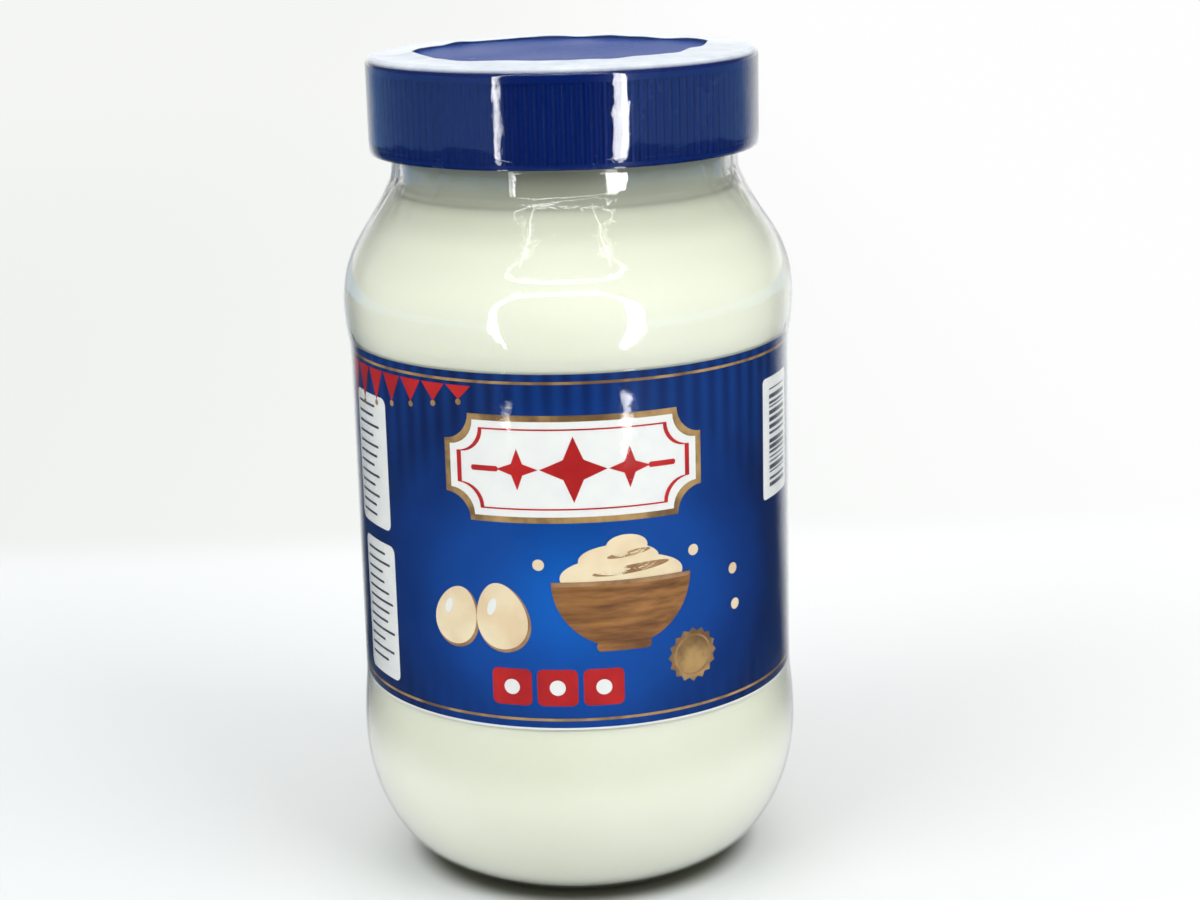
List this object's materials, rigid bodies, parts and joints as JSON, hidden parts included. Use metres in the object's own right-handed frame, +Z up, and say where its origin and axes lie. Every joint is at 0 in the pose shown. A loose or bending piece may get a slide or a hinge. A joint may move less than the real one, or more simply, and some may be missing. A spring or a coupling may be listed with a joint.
{
  "type": "mayonnaise jar",
  "caption": "Filled clear plastic jar of mayonnaise with a ribbed blue screw cap, a wrap-round printed label and a clear shrink film over all of it.",
  "frame": {"origin": "middle of the flat standing ring under the jar, at the height that it stands on", "axes": "+Z up along the jar's axis of revolution; -Y towards the front of the label; the label's lapped ends are at the back, on +Y"},
  "size_m": [0.076, 0.076, 0.1398],
  "materials": {
    "clear_jar": "clear, glossy blown plastic",
    "mayonnaise": "smooth pale cream, slightly glossy",
    "blue_cap": "moulded deep blue plastic, satin to glossy",
    "printed_label": "printed label under clear film",
    "clear_film": "thin clear shrink film, glossy"
  },
  "bodies": {
    "root": {"jar": "clear_jar", "mayonnaise": "mayonnaise", "cap": "blue_cap", "label": "printed_label", "film": "clear_film"}
  },
  "joints": []
}
